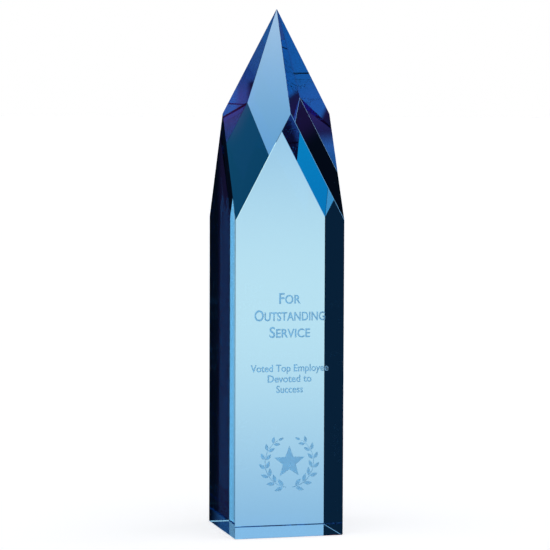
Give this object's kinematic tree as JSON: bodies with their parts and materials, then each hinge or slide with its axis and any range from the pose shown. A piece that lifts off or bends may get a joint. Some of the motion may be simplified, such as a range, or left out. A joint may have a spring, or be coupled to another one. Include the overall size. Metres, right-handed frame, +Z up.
{
  "type": "crystal award",
  "caption": "Tall square tower of clear blue glass, ground to a point by four corner facets, with a sand-etched inscription and a star and laurel emblem on its front.",
  "frame": {"origin": "centre of the square base, on the surface that the award stands on", "axes": "+Z up along the tower, the engraved front face towards -Y, +X to the right as seen from the front"},
  "size_m": [0.0508, 0.0508, 0.2397],
  "materials": {
    "blue_crystal": "clear blue optical glass, ground and polished",
    "frosted_glass": "sand-etched, frosted white"
  },
  "bodies": {
    "root": {"crystal_tower": "blue_crystal", "etched_heading_top": "frosted_glass", "etched_heading_middle": "frosted_glass", "etched_heading_bottom": "frosted_glass", "etched_citation_top": "frosted_glass", "etched_citation_middle": "frosted_glass", "etched_citation_bottom": "frosted_glass", "etched_star": "frosted_glass", "etched_laurel_left": "frosted_glass", "etched_laurel_right": "frosted_glass"}
  },
  "joints": []
}
